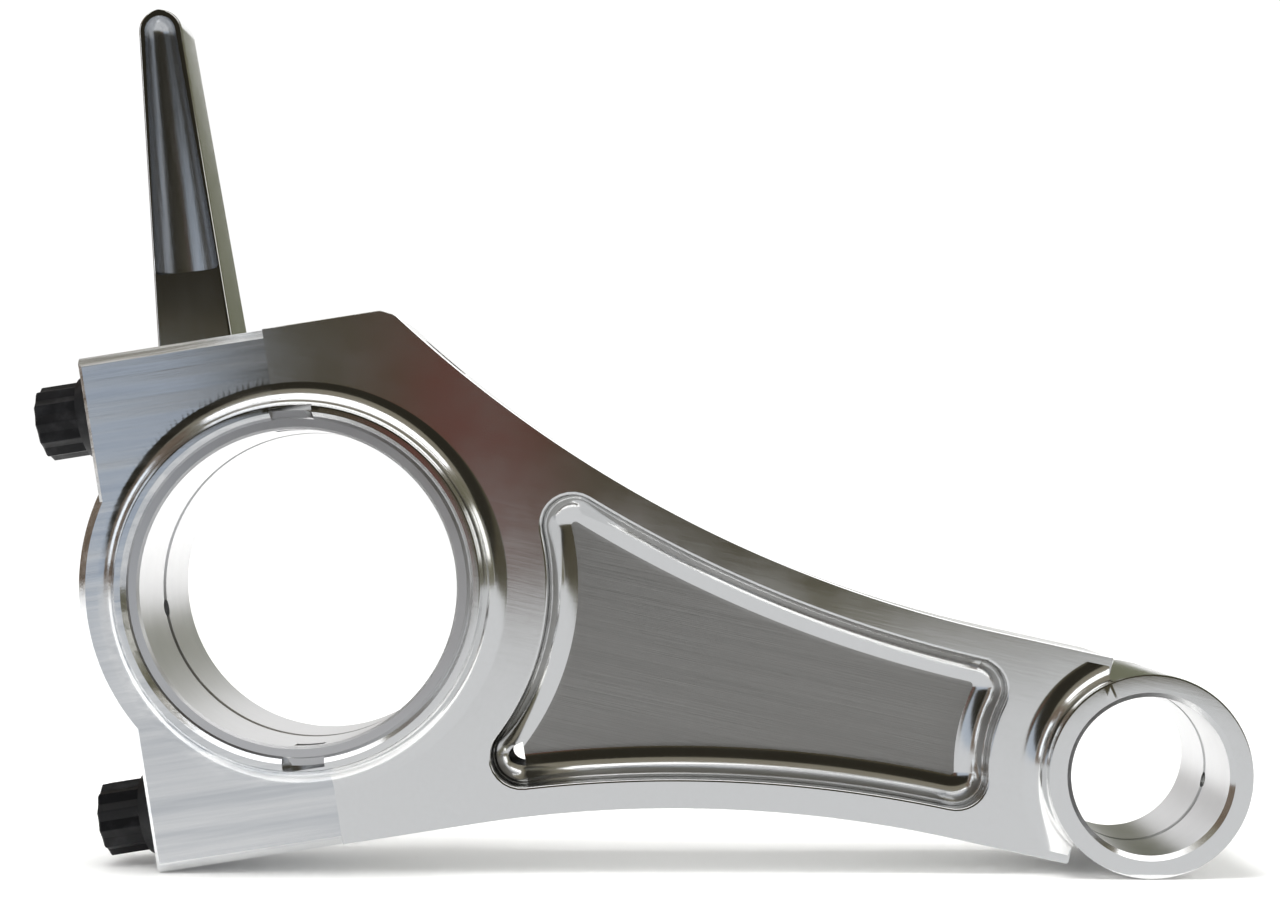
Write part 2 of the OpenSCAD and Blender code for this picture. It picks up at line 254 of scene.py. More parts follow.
def arc(cx, cy, r, start, end, steps):
    """Points along an arc, from one angle to another in degrees."""
    turns = [math.radians(start + (end - start) * k / steps) for k in range(steps + 1)]
    return [(cx + r * math.cos(t), cy + r * math.sin(t)) for t in turns]


def rod_to_bolts(p):
    """A point of the rod's own frame, in the bolts' frame."""
    c, s = math.cos(split), math.sin(split)
    return (p[0] * c + p[1] * s, -p[0] * s + p[1] * c)


def bolts_to_rod(p):
    """A point of the bolts' frame, in the rod's own frame."""
    c, s = math.cos(split), math.sin(split)
    return (p[0] * c - p[1] * s, p[0] * s + p[1] * c)


def plate(outline, thickness):
    """A plate of that outline, which lies along X and Z, half its thickness each side of Y = 0."""
    bm = bmesh.new()
    verts = [bm.verts.new((x, -thickness / 2, z)) for x, z in outline]
    face = bm.faces.new(verts)
    made = bmesh.ops.extrude_face_region(bm, geom=[face])
    moved = [v for v in made["geom"] if isinstance(v, bmesh.types.BMVert)]
    bmesh.ops.translate(bm, vec=(0, thickness, 0), verts=moved)
    bmesh.ops.recalc_face_normals(bm, faces=bm.faces)
    return bm


def break_edges(bm, width, level):
    """Chamfers the edges that lie at that distance from the middle plane."""
    edges = [e for e in bm.edges if all(abs(abs(v.co.y) - level) < 1e-4 for v in e.verts)]
    bmesh.ops.bevel(bm, geom=edges, offset=width, segments=1, profile=0.5,
                    affect="EDGES", clamp_overlap=True, material=-1)


def turned(profile, segments=fine, closed=False):
    """Turned about Y from (radius, height) points: from axis to axis, or a closed ring."""
    bm = bmesh.new()
    verts = [bm.verts.new((r, y, 0)) for r, y in profile]
    edges = [bm.edges.new(pair) for pair in zip(verts, verts[1:] + verts[:closed])]
    bmesh.ops.spin(bm, geom=verts + edges, cent=(0, 0, 0), axis=(0, 1, 0),
                   angle=math.tau, steps=segments, use_merge=True)
    bmesh.ops.remove_doubles(bm, verts=bm.verts, dist=1e-4)
    bmesh.ops.recalc_face_normals(bm, faces=bm.faces)
    return bm


def lofted(rings):
    """A closed solid through rings with the same number of points."""
    bm = bmesh.new()
    loops = []
    for ring in rings:
        verts = [bm.verts.new(p) for p in ring]
        loops.append([bm.edges.new(pair) for pair in zip(verts, verts[1:] + verts[:1])])
    for near, far in zip(loops, loops[1:]):
        bmesh.ops.bridge_loops(bm, edges=near + far)
    bmesh.ops.contextual_create(bm, geom=loops[0])
    bmesh.ops.contextual_create(bm, geom=loops[-1])
    bmesh.ops.recalc_face_normals(bm, faces=bm.faces)
    return bm


def drill(r, length):
    """A plain round cutter along X from the origin."""
    bm = bmesh.new()
    bmesh.ops.create_cone(bm, cap_ends=True, segments=64, radius1=r, radius2=r, depth=length)
    bmesh.ops.rotate(bm, cent=(0, 0, 0), matrix=Matrix.Rotation(math.pi / 2, 3, "Y"),
                     verts=bm.verts)
    bmesh.ops.translate(bm, vec=(length / 2, 0, 0), verts=bm.verts)
    return bm


def block(lo, hi):
    """A plain box between two corners."""
    bm = bmesh.new()
    bmesh.ops.create_cube(bm, size=1)
    lo, hi = Vector(lo), Vector(hi)
    bmesh.ops.scale(bm, vec=hi - lo, verts=bm.verts)
    bmesh.ops.translate(bm, vec=(lo + hi) / 2, verts=bm.verts)
    return bm


def placed(bm, move=(0, 0, 0), turn=0.0):
    """The shape moved, then turned about Y so that +X dips by that angle."""
    bmesh.ops.translate(bm, vec=move, verts=bm.verts)
    bmesh.ops.rotate(bm, cent=(0, 0, 0), matrix=Matrix.Rotation(turn, 3, "Y"), verts=bm.verts)
    return bm


def solid(name, bm):
    """A mesh object in the scene, made from a bmesh."""
    mesh = bpy.data.meshes.new(name)
    bm.to_mesh(mesh)
    bm.free()
    made = bpy.data.objects.new(name, mesh)
    bpy.context.scene.collection.objects.link(made)
    return made


def unmade(piece):
    """The bmesh of a helper object, which goes."""
    bm = bmesh.new()
    bm.from_mesh(piece.data)
    bpy.data.objects.remove(piece)
    return bm


def combine(body, operation, shape):
    """Joins a shape to a body, cuts it away or keeps what they share, and bakes the result in."""
    tool = solid("tool", shape)
    step = body.modifiers.new("step", "BOOLEAN")
    step.operation, step.solver, step.object = operation, "EXACT", tool
    graph = bpy.context.evaluated_depsgraph_get()
    made = bpy.data.meshes.new_from_object(body.evaluated_get(graph))
    body.modifiers.clear()
    old, body.data = body.data, made
    bpy.data.meshes.remove(old)
    bpy.data.objects.remove(tool)
    return body


def soft_rim(land):
    """The small round at the outer edge of an end face."""
    ring = rod_w / 2
    return [(land - 0.25, ring), (land - 0.08, ring - 0.05), (land - 0.02, ring - 0.2)]


def boss_profile(land):
    """Half section of an end boss: its land, its rim and the cove that runs down to the plate."""
    steps = 14
    ring = rod_w / 2
    deep = cove + 0.03
    curve = [(land + cove - deep * math.cos(t), ring - deep * math.sin(t))
             for t in (math.pi / 2 * k / steps for k in range(1, steps + 1))]
    top = soft_rim(land) + curve
    return [(0, ring)] + top + [(r, -y) for r, y in reversed(top)] + [(0, -ring)]


def bore_profile(r, mouth):
    """Half section of the cutter for a bore with a chamfer at each mouth."""
    ring = rod_w / 2
    top = [(0, ring + 1), (r + mouth + 1, ring + 1), (r, ring - mouth)]
    return top + [(r, -y) for r, y in reversed(top)]


def rod_outline(past_split):
    """Outline of big-end block and beam in the rod's own frame, starting past the split."""
    lower_t = (arc_u - arc_r * math.sin(split), arc_r * math.cos(split) - arc_v)
    start = math.degrees(math.atan2(lower_t[1] + arc_v, lower_t[0] - arc_u))
    lower = arc(arc_u, -arc_v, arc_r, start, 90, 48)
    bc, nc = rod_to_bolts((arc_u, arc_v))
    drop = nc - half_h
    corner = bolts_to_rod((bc - math.sqrt(arc_r ** 2 - drop ** 2), half_h))
    end = math.degrees(math.atan2(corner[1] - arc_v, corner[0] - arc_u)) % 360
    upper = arc(arc_u, arc_v, arc_r, 270, end + 0.35, 64)
    blunt = rod_to_bolts(corner)
    points = [bolts_to_rod((-past_split, -half_h))]
    points += lower + [(beam_end, -half_w), (beam_end, half_w)] + upper
    points += [bolts_to_rod((blunt[0] - 1.1, half_h)), bolts_to_rod((-past_split, half_h))]
    return points


def pocket_cutter():
    """What a ball cutter takes out of the front of the beam, from the web outwards."""
    ball, flange, big_edge, small_edge = 4.0, 3.8, 31.3, 20.0
    lip = 0.35
    floor_y, face_y = -web_t / 2, -body_t / 2

    def crossing(c0, r0, c1, r1, upper):
        d = Vector(c1) - Vector(c0)
        along = (d.length_squared + r0 * r0 - r1 * r1) / (2 * d.length)
        height = math.sqrt(r0 * r0 - along * along)
        unit = d.normalized()
        side = Vector((-unit.y, unit.x)) * height
        options = [Vector(c0) + unit * along + side, Vector(c0) + unit * along - side]
        return min(options, key=lambda p: abs(p.y - upper))

    big, small, side_r = big_edge + ball, small_edge + ball, arc_r + flange + ball
    tops = (arc_u, arc_v)
    lows = (arc_u, -arc_v)
    straight = half_w - flange - ball
    corners = [
        crossing((0, 0), big, tops, side_r, 20),
        crossing((0, 0), big, lows, side_r, -20),
        Vector((centres - math.sqrt(small ** 2 - straight ** 2), -straight)),
        Vector((centres - math.sqrt(small ** 2 - straight ** 2), straight)),
    ]

    def loop(grow):
        """Outline of the floor, let out by that much, with its corners rounded to match."""
        def angle(centre, p):
            return math.degrees(math.atan2(p.y - centre[1], p.x - centre[0])) % 360
        tl, bl, br, tr = corners
        points = []
        # left side, down the big end's cove
        a0, a1 = angle((0, 0), tl), angle((0, 0), bl) - 360
        points += arc(0, 0, big - grow, a0, a1, 40)[0:-1]
        # lower left corner
        s = angle((0, 0), bl) + 180
        e = angle(lows, bl)
        points += arc(bl.x, bl.y, grow, s, e + 180 if e + 180 > s else e + 540, 10)[0:-1]
        # lower side
        points += arc(*lows, side_r - grow, e, 90, 40)[0:-1]
        # lower right corner
        f = angle((centres, 0), br)
        points += arc(br.x, br.y, grow, 270, 360 + f - 180, 10)[0:-1]
        # right side, up the small end's cove
        g = angle((centres, 0), tr)
        points += arc(centres, 0, small - grow, f, g, 24)[0:-1]
        # upper right corner
        points += arc(tr.x, tr.y, grow, g - 180, 90, 10)[0:-1]
        # upper side
        h = angle(tops, tl)
        points += arc(*tops, side_r - grow, 270, h, 40)[0:-1]
        # upper left corner
        points += arc(tl.x, tl.y, grow, h - 180, angle((0, 0), tl) + 180, 10)[0:-1]
        return points

    steps = 12
    levels = [(0.02, floor_y)]
    levels += [(ball * math.sin(t), floor_y - ball * (1 - math.cos(t)))
               for t in (math.pi / 2 * k / steps for k in range(1, steps + 1))]
    levels += [(ball, face_y + lip)]
    levels += [(ball + lip * (1 - math.cos(t)), face_y + lip * (1 - math.sin(t)))
               for t in (math.pi / 2 * k / 4 for k in range(1, 5))]
    levels += [(ball + lip, face_y - 1.5)]
    return lofted([[(u, y, v) for u, v in loop(grow)] for grow, y in levels])


def shaded(piece, sharp=28.0):
    """Smooth shading that keeps flat faces flat and real edges sharp."""
    mesh = piece.data
    mesh.polygons.foreach_set("use_smooth", [True] * len(mesh.polygons))
    mesh.set_sharp_from_angle(angle=math.radians(sharp))
    even = piece.modifiers.new("even_normals", "WEIGHTED_NORMAL")
    even.keep_sharp = True
    even.weight = 100
    even.mode = "FACE_AREA"
    return piece


def in_metres(piece):
    """Mends the slivers that cutting left, and brings a piece made in millimetres to metres."""
    bm = bmesh.new()
    bm.from_mesh(piece.data)
    bmesh.ops.remove_doubles(bm, verts=bm.verts, dist=sliver)
    bmesh.ops.dissolve_degenerate(bm, dist=sliver, edges=bm.edges)
    for _ in range(3):
        bmesh.ops.delete(bm, geom=[e for e in bm.edges if not e.link_faces], context="EDGES")
        bmesh.ops.delete(bm, geom=[v for v in bm.verts if not v.link_edges], context="VERTS")
        bmesh.ops.holes_fill(bm, edges=[e for e in bm.edges if e.is_boundary], sides=0)
    bmesh.ops.recalc_face_normals(bm, faces=bm.faces)
    bm.to_mesh(piece.data)
    bm.free()
    piece.data.transform(Matrix.Scale(MM, 4))
    return piece


def metal(name, build):
    """A metal. build wires up what varies over its surface: colour, roughness and relief."""
    material = bpy.data.materials.new(name)
    material.use_nodes = True
    tree = material.node_tree
    shader = tree.nodes["Principled BSDF"]
    shader.inputs["Metallic"].default_value = 1.0
    start = Wire(tree, tree.nodes.new("ShaderNodeTexCoord").outputs["Object"])
    build(start, shader)
    return material


def stretched_noise(start, turn, scale, detail=4.0, rough=0.6):
    """Noise stretched along one direction of the rod, between 0 and 1."""
    place = start.node("ShaderNodeMapping", {"vector_type": "TEXTURE"}, Vector=start,
                       Rotation=(0, turn, 0), Scale=scale)
    cloud = start.node("ShaderNodeTexNoise", {}, Vector=Wire(start.tree, place.outputs[0]),
                       Scale=1.0, Detail=detail, Roughness=rough)
    return Wire(start.tree, cloud.outputs["Fac"])


def tint(start, mask, low, high):
    """A colour between two, chosen by a mask."""
    mix = start.node("ShaderNodeMix", {"data_type": "RGBA"}, Factor=mask)
    mix.inputs[6].default_value = (*low, 1)
    mix.inputs[7].default_value = (*high, 1)
    return Wire(start.tree, mix.outputs[2])


def ramp(start, mask, *stops):
    """A mask passed through a grey ramp."""
    made = start.node("ShaderNodeValToRGB", {"stops": stops}, Fac=mask)
    return Wire(start.tree, made.outputs["Color"])


def bump(start, shader, height, depth):
    """Relief of that depth in millimetres."""
    made = start.node("ShaderNodeBump", {}, Height=height, Strength=1.0, Distance=depth * MM)
    plug(start.tree, shader.inputs["Normal"], Wire(start.tree, made.outputs[0]))


def polish(start, shader):
    """Buffed aluminium: faint haze, fine wheel marks and a slow waviness."""
    marks = stretched_noise(start, slope, (9 * MM, 0.35 * MM, 0.35 * MM), 5.0)
    haze = stretched_noise(start, 0.0, (14 * MM, 14 * MM, 14 * MM), 3.0)
    specks = stretched_noise(start, 0.0, (0.6 * MM, 0.6 * MM, 0.6 * MM), 2.0)
    wear = ramp(start, haze, (0.35, 0.0), (0.75, 1.0))
    plug(start.tree, shader.inputs["Roughness"], 0.085 + wear * 0.07 + marks * 0.05)
    plug(start.tree, shader.inputs["Base Color"],
         tint(start, haze * 0.6 + specks * 0.4, (0.84, 0.84, 0.835), (0.93, 0.935, 0.94)))
    bump(start, shader, marks * 0.5 + haze * 2.0, 0.004)


def milled(start, shader):
    """Bare milled aluminium: fine lines along the beam, with brighter and duller passes."""
    lines = stretched_noise(start, slope, (26 * MM, 0.3 * MM, 0.16 * MM), 4.0, 0.65)
    passes = stretched_noise(start, slope, (60 * MM, 2 * MM, 1.6 * MM), 2.0)
    chatter = stretched_noise(start, slope, (2.2 * MM, 0.5 * MM, 0.45 * MM), 3.0)
    plug(start.tree, shader.inputs["Roughness"], 0.36 + lines * 0.16 + chatter * 0.06)
    plug(start.tree, shader.inputs["Base Color"],
         tint(start, lines * 0.5 + passes * 0.3 + chatter * 0.2,
              (0.30, 0.295, 0.285), (0.68, 0.67, 0.65)))
    bump(start, shader, lines + chatter * 0.4, 0.02)


def bored(start, shader):
    """Fine bored finish: rings of the tool round the hole, satin."""
    rings = stretched_noise(start, 0.0, (30 * MM, 0.12 * MM, 30 * MM), 3.0)
    haze = stretched_noise(start, 0.0, (6 * MM, 3 * MM, 6 * MM), 3.0)
    plug(start.tree, shader.inputs["Roughness"], 0.26 + rings * 0.1 + haze * 0.08)
    plug(start.tree, shader.inputs["Base Color"],
         tint(start, haze * 0.5 + rings * 0.5, (0.60, 0.60, 0.61), (0.78, 0.78, 0.79)))
    bump(start, shader, rings, 0.006)


rod_polish = metal("rod_polish", polish)
web_milled = metal("web_milled", milled)
bore_satin = metal("bore_satin", bored)


def dress(piece, rules, materials):
    """Gives each face the first material whose rule holds for its centre and normal."""
    for material in materials:
        piece.data.materials.append(material)
    for face in piece.data.polygons:
        held = (k for k, rule in enumerate(rules, 1) if rule(face.center, face.normal))
        face.material_index = next(held, 0)


def make_rod():
    bm = plate(rod_outline(past), body_t)
    uprights = [e for e in bm.edges if abs(e.verts[0].co.y - e.verts[1].co.y) > 1
                and e.calc_face_angle(0) > 0.3]
    bmesh.ops.bevel(bm, geom=uprights, offset=0.35, segments=3, profile=0.5,
                    affect="EDGES", material=-1)
    break_edges(bm, edge_break, body_t / 2)
    rod = solid("rod_body_polished", bm)

    # the end bosses; the small one's cove is kept to the beam
    at_pin = (centres, 0, 0)
    combine(rod, "UNION", placed(turned(boss_profile(land_r)), turn=-slope))
    coved = solid("coved", placed(turned(boss_profile(small_r)), move=at_pin))
    combine(coved, "INTERSECT", block((arc_u, -rod_w, edge_break - half_w),
                                      (beam_end - 0.5, rod_w, half_w - edge_break)))
    combine(rod, "UNION", unmade(coved))
    top = [(0, rod_w / 2)] + soft_rim(small_r)
    eye = top + [(r, -y) for r, y in reversed(top)]
    combine(rod, "UNION", placed(turned(eye), move=at_pin))

    # the pockets and the bores
    combine(rod, "DIFFERENCE", pocket_cutter())
    back = pocket_cutter()
    bmesh.ops.scale(back, vec=(1, -1, 1), verts=back.verts)
    bmesh.ops.recalc_face_normals(back, faces=back.faces)
    combine(rod, "DIFFERENCE", back)
    combine(rod, "DIFFERENCE", turned(bore_profile(housing_r, mouth)))
    combine(rod, "DIFFERENCE", placed(turned(bore_profile(pin_r, 0.6)), move=at_pin))
    groove_r, w = pin_r + groove_depth, groove_w / 2
    groove = [(0, w), (groove_r, w), (groove_r, -w), (0, -w)]
    combine(rod, "DIFFERENCE", placed(turned(groove), move=at_pin))
    combine(rod, "DIFFERENCE", placed(drill(pin_oil_r, 20), move=at_pin))

    # the bolts' tapped holes, the dowels' sockets, the split and the tang's notch
    for side in (-1, 1):
        for r, depth in ((tap_r, tap_depth), (dowel_r, dowel_l / 2)):
            hole = placed(drill(r, depth + past), move=(-past, 0, side * bolt_n), turn=-split)
            combine(rod, "DIFFERENCE", hole)
    combine(rod, "DIFFERENCE", placed(block((-60, -30, -60), (0, 30, 60)), turn=-split))
    notch = block((-1, -rod_w / 2 - 1, notch_in), (notch_l, notch_y, notch_out))
    combine(rod, "DIFFERENCE", placed(notch, turn=-split))
    rod.data.transform(Matrix.Rotation(slope, 4, "Y"))
    return in_metres(rod)


rod = make_rod()


def on_web(centre, normal):
    return abs(normal.y) > 0.99 and abs(abs(centre.y) - web_t / 2 * MM) < 0.05 * MM


def in_pin_bore(centre, normal):
    away = math.hypot(centre.x - pin.x, centre.z - pin.z)
    return away < (pin_r + 0.5) * MM and abs(normal.y) < 0.5


def in_housing(centre, normal):
    return math.hypot(centre.x, centre.z) < (housing_r + 0.05) * MM and abs(normal.y) < 0.5


dress(rod, (on_web, in_pin_bore, in_housing), (rod_polish, web_milled, bore_satin, bore_satin))
shaded(rod)
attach(rod, "rod")
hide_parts("rod_body")


# ---------- bearing cap ----------
# The cap is machined and polished like the rod. Its oil dipper, a tapered blade with a milled
# scoop, grows out of the upper flat, and an oil hole runs through the crown into the bore.

seat = 24.0
crown_r = housing_r + 7.4
bolt_hole_r, cap_oil_r = 3.4, 1.2
dipper_l, root_w, tip_w = 44.0, 9.8, 5.6
root_t, tip_t = 9.4, 7.0
plain_l, rail, scoop_depth = 9.4, 0.8, 1.9
dipper_b, lean = -9.7, math.radians(2.1)


def bar(lo, hi, length, chamfer, along_z):
    """A long bar as thick as the body with its four edges broken, from lo to hi across it."""
    h = body_t / 2
    section = [(-h + chamfer, lo), (h - chamfer, lo), (h, lo + chamfer), (h, hi - chamfer),
               (h - chamfer, hi), (-h + chamfer, hi), (-h, hi - chamfer), (-h, lo + chamfer)]
    return lofted([[(w, y, at) if along_z else (at, y, w) for y, w in section] for at in length])


def blade():
    """The dipper before its scoop is cut: a tapered blade with soft edges and a round tip."""
    tip_r = tip_w / 2
    neck = dipper_l - tip_r
    heights = [(-1.0 + (neck + 1.0) * k / 24, None) for k in range(25)]
    heights += [(neck, a) for a in range(6, 87, 5)]
    rings = []
    for z, angle in heights:
        w = root_w / 2 + (tip_r - root_w / 2) * max(z, 0) / neck
        if angle:
            w = tip_r * math.cos(math.radians(angle))
            z = neck + tip_r * math.sin(math.radians(angle))
        t = root_t / 2 + (tip_t - root_t) / 2 * z / dipper_l
        soft = min(0.45, w * 0.6)
        ring = []
        for right, back, start in ((1, 1, 0), (-1, 1, 90), (-1, -1, 180), (1, -1, 270)):
            corner = arc(right * (w - soft), back * (t - soft), soft, start, start + 90, 5)
            ring += [(x, y, z) for x, y in corner]
        rings.append(ring)
    return lofted(rings)


def scoop():
    """Tapered ball-ended cutter for the scoop."""
    r1, r2, run_out = root_w / 2 - rail, tip_w / 2 - rail, 0.7
    length = dipper_l - tip_w / 2 - plain_l
    profile = [(0, 0)] + arc(r1 - run_out, run_out, run_out, -90, 0, 5)
    profile += arc(0, length, r2, 0, 81, 9) + [(0, length + r2)]
    bm = turned(profile, 96)
    rise_y = scoop_depth - r2 + (root_t - tip_t) / 2
    for angle in (math.pi / 2, -math.atan2(rise_y, length)):
        bmesh.ops.rotate(bm, cent=(0, 0, 0), matrix=Matrix.Rotation(angle, 3, "X"), verts=bm.verts)
    bmesh.ops.translate(bm, vec=(0, -root_t / 2, plain_l), verts=bm.verts)
    return bm


def make_cap():
    along = bar(-half_h, half_h, (-seat - 1, 3), edge_break, False)
    cap = solid("bearing_cap_polished", along)
    combine(cap, "INTERSECT", bar(-seat, 50, (-half_h - 1, half_h + 1), 0.5, True))
    h = body_t / 2
    crown = [(0, -h), (crown_r - edge_break, -h), (crown_r, -h + edge_break)]
    combine(cap, "UNION", turned(crown + [(r, -y) for r, y in reversed(crown)], 256))
    combine(cap, "UNION", placed(turned(boss_profile(land_r)), turn=rise))

    dipper = solid("dipper", blade())
    combine(dipper, "DIFFERENCE", scoop())
    grown = placed(unmade(dipper), turn=lean)
    bmesh.ops.translate(grown, vec=(dipper_b, 0, half_h), verts=grown.verts)
    combine(cap, "UNION", grown)

    # the bore, the bolts' holes, the dowels' sockets, the oil hole, the split and the notch
    combine(cap, "DIFFERENCE", turned(bore_profile(housing_r, mouth)))
    for side in (-1, 1):
        hole = placed(drill(bolt_hole_r, seat + 6), move=(-seat - 2, 0, side * bolt_n))
        combine(cap, "DIFFERENCE", hole)
        socket = placed(drill(dowel_r + 0.03, dowel_l), move=(-dowel_l / 2, 0, side * bolt_n))
        combine(cap, "DIFFERENCE", socket)
    combine(cap, "DIFFERENCE", placed(drill(cap_oil_r, 40), turn=math.pi))
    combine(cap, "DIFFERENCE", block((0, -40, -60), (60, 40, 90)))
    notch = block((-notch_l, -rod_w / 2 - 1, -notch_out), (1, notch_y, -notch_in))
    combine(cap, "DIFFERENCE", notch)
    cap.data.transform(Matrix.Rotation(-rise, 4, "Y"))
    return in_metres(cap)


def brushed(start, shader):
    """Polished like the rod, with long soft streaks that run along the bolts."""
    streaks = stretched_noise(start, -rise, (60 * MM, 2.2 * MM, 2.2 * MM), 4.0)
    marks = stretched_noise(start, -rise, (12 * MM, 0.3 * MM, 0.3 * MM), 5.0)
    haze = stretched_noise(start, 0.0, (10 * MM, 10 * MM, 10 * MM), 3.0)
    dull = ramp(start, streaks, (0.4, 0.0), (0.7, 1.0))
    bright = ramp(start, streaks, (0.35, 0.0), (0.62, 1.0))
    plug(start.tree, shader.inputs["Roughness"], 0.10 + dull * 0.12 + marks * 0.05)
    plug(start.tree, shader.inputs["Base Color"],
         tint(start, bright * 0.8 + haze * 0.2, (0.66, 0.68, 0.71), (0.95, 0.955, 0.96)))
    bump(start, shader, streaks * 3.0 + marks * 0.5, 0.008)


def on_scoop(centre, normal):
    """The floor of the scoop, found in the dipper's own frame."""
    b = (centre.x * math.cos(rise) + centre.z * math.sin(rise)) / MM
    up = (centre.z * math.cos(rise) - centre.x * math.sin(rise)) / MM - half_h
    face_y = -root_t / 2 + (root_t - tip_t) / 2 * up / dipper_l
    inside = abs(b - dipper_b) < 4.2 and centre.y / MM > face_y + 0.06
    return up > plain_l - 0.5 and normal.y < -0.02 and inside


def on_dipper(centre, normal):
    """The rest of the dipper."""
    return centre.z * math.cos(rise) - centre.x * math.sin(rise) > (half_h + 0.02) * MM


def plain_polish(start, shader):
    """A closer polish than the rest, with marks that run up the dipper."""
    marks = stretched_noise(start, lean - rise, (0.35 * MM, 0.35 * MM, 12 * MM), 5.0)
    haze = stretched_noise(start, 0.0, (7 * MM, 7 * MM, 7 * MM), 3.0)
    plug(start.tree, shader.inputs["Roughness"], 0.05 + marks * 0.05 + haze * 0.04)
    plug(start.tree, shader.inputs["Base Color"],
         tint(start, marks * 0.5 + haze * 0.5, (0.74, 0.745, 0.74), (0.90, 0.90, 0.90)))
    bump(start, shader, marks, 0.003)


def scooped(start, shader):
    """Cutter marks that run up the scoop."""
    lines = stretched_noise(start, lean - rise, (0.5 * MM, 0.5 * MM, 18 * MM), 5.0, 0.7)
    plug(start.tree, shader.inputs["Roughness"], 0.14 + lines * 0.14)
    plug(start.tree, shader.inputs["Base Color"],
         tint(start, lines, (0.50, 0.52, 0.54), (0.90, 0.91, 0.93)))
    bump(start, shader, lines, 0.03)


cap_polish = metal("cap_polish", brushed)
scoop_marks = metal("scoop_marks", scooped)
dipper_polish = metal("dipper_polish", plain_polish)
cap = make_cap()
dress(cap, (on_scoop, on_dipper, in_housing), (cap_polish, scoop_marks, dipper_polish, bore_satin))
shaded(cap)
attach(cap, "cap")
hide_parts("bearing_cap")


# ---------- bearing shells ----------
# Two thin half shells line the big end. Each has a pressed tang at one joint face, an oil groove
# round its middle and chamfered edges, and the cap's half is drilled for oil.

shell_back = 0.5
tang_l, tang_w, tang_out, dent = 5.0, 3.6, 0.9, 0.9
bore_r = mounts["big_end_bore"]["dims"]["r_mm"]


def shell_ring():
    """The ring of both shells, turned about Y, with the oil groove in its bore."""
    w = rod_w / 2 - shell_back
    half = [(bore_r + 0.35, 0.45), (bore_r + 0.08, 0.6), (bore_r, 0.68), (bore_r, w - 0.35),
            (bore_r + 0.3, w), (housing_r - 0.2, w), (housing_r, w - 0.2)]
    return turned(half + [(r, -y) for r, y in reversed(half)], 2 * fine, closed=True)


def sector(inner, outer, length, front, back, soft):
    """A curved block between two radii that starts at the split, with its far edges softened."""
    def on_circle(r, end, steps):
        return [(x, math.sqrt(r ** 2 - x * x)) for x in (end * k / 8 for k in steps)]
    lo = [(-1.0, math.sqrt(inner ** 2 - 1))] + on_circle(inner, length, range(9))
    hi = on_circle(outer, length - soft, range(8, -1, -1)) + [(-1.0, math.sqrt(outer ** 2 - 1))]
    return lofted([[(x, y, z) for x, z in lo + hi] for y in (front, back)])


def make_shell(name, turn, drilled):
    shell = solid(name, shell_ring())
    lo = -rod_w / 2 + shell_back + 0.4
    hi = lo + tang_w
    combine(shell, "UNION", sector(bore_r + 0.75, housing_r + tang_out, tang_l, lo, hi, 0.8))
    pressed = sector(bore_r - 1, bore_r + dent, tang_l - dent, lo + dent, hi - dent, 0.6)
    combine(shell, "DIFFERENCE", pressed)
    combine(shell, "DIFFERENCE", block((-40, -30, -40), (0, 30, 40)))
    if drilled:
        combine(shell, "DIFFERENCE", drill(cap_oil_r, 30))
    shell.data.transform(Matrix.Rotation(turn - rise, 4, "Y"))
    return shaded(in_metres(shell))


def lining(start, shader):
    """Satin bearing alloy: very fine bore marks, faint dull patches."""
    rings = stretched_noise(start, 0.0, (40 * MM, 0.10 * MM, 40 * MM), 4.0)
    haze = stretched_noise(start, 0.0, (5 * MM, 2.5 * MM, 5 * MM), 4.0)
    plug(start.tree, shader.inputs["Roughness"], 0.22 + rings * 0.1 + haze * 0.12)
    plug(start.tree, shader.inputs["Base Color"],
         tint(start, haze * 0.6 + rings * 0.4, (0.66, 0.66, 0.67), (0.86, 0.86, 0.87)))
    bump(start, shader, rings, 0.005)


shell_satin = metal("shell_satin", lining)
for name, node, body, slot, turn, drilled in (
    ("rod_shell_lining", "rod_shell", "rod", "rod_lining", 0.0, False),
    ("cap_shell_lining", "cap_shell", "cap", "cap_lining", math.pi, True),
):
    shell = make_shell(name, turn, drilled)
    shell.data.materials.append(shell_satin)
    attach(shell, body)
    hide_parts(node)


# ---------- cap screws ----------
# Twelve-point flanged screws with a rolled thread, in black oxide that has worn a little greyer in
# patches. They are turned from a profile, and the head is cut to twelve points.

bolt_r, bolt_l = 3.2, 40.0
thread_l, pitch, thread_depth, tip_chamfer = 18.0, 1.0, 0.55, 0.8
flange_r, flange_t, head_r, head_t = 6.2, 2.4, 4.9, 5.6


def twelve_points(r):
    """Points and hollows of two hexagons laid over each other, as (radius, angle)."""
    inner = r * math.cos(math.radians(30)) / math.cos(math.radians(15))
    return [(inner if k % 2 else r, math.radians(15 * k + 4)) for k in range(24)]


